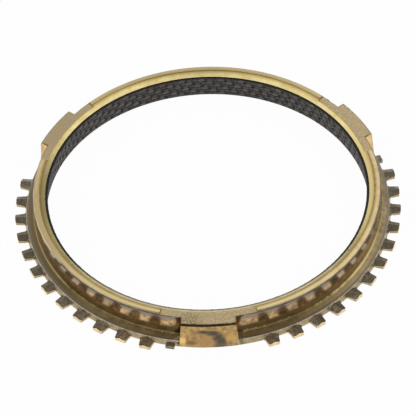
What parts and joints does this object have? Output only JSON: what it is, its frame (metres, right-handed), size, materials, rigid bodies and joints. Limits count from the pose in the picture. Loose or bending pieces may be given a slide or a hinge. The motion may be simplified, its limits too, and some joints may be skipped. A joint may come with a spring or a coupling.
{
  "type": "synchronizer ring",
  "caption": "Brass synchronizer ring with a woven friction lining in its cone, roof-chamfered blocking teeth on a flange and drafted hub lugs on a turned rim.",
  "frame": {"origin": "axis of the friction cone, in the plane of the toothed face", "axes": "+Z along the axis of the ring, from the toothed face to the rim; the middle of one lug points along -Y"},
  "size_m": [0.1198, 0.1173, 0.0099],
  "materials": {
    "brass_body": "forged, turned on the rim and chamfer",
    "woven_lining": "woven carbon yarn, resin bonded"
  },
  "bodies": {
    "root": {"ring_body": "brass_body", "friction_lining": "woven_lining"}
  },
  "joints": []
}
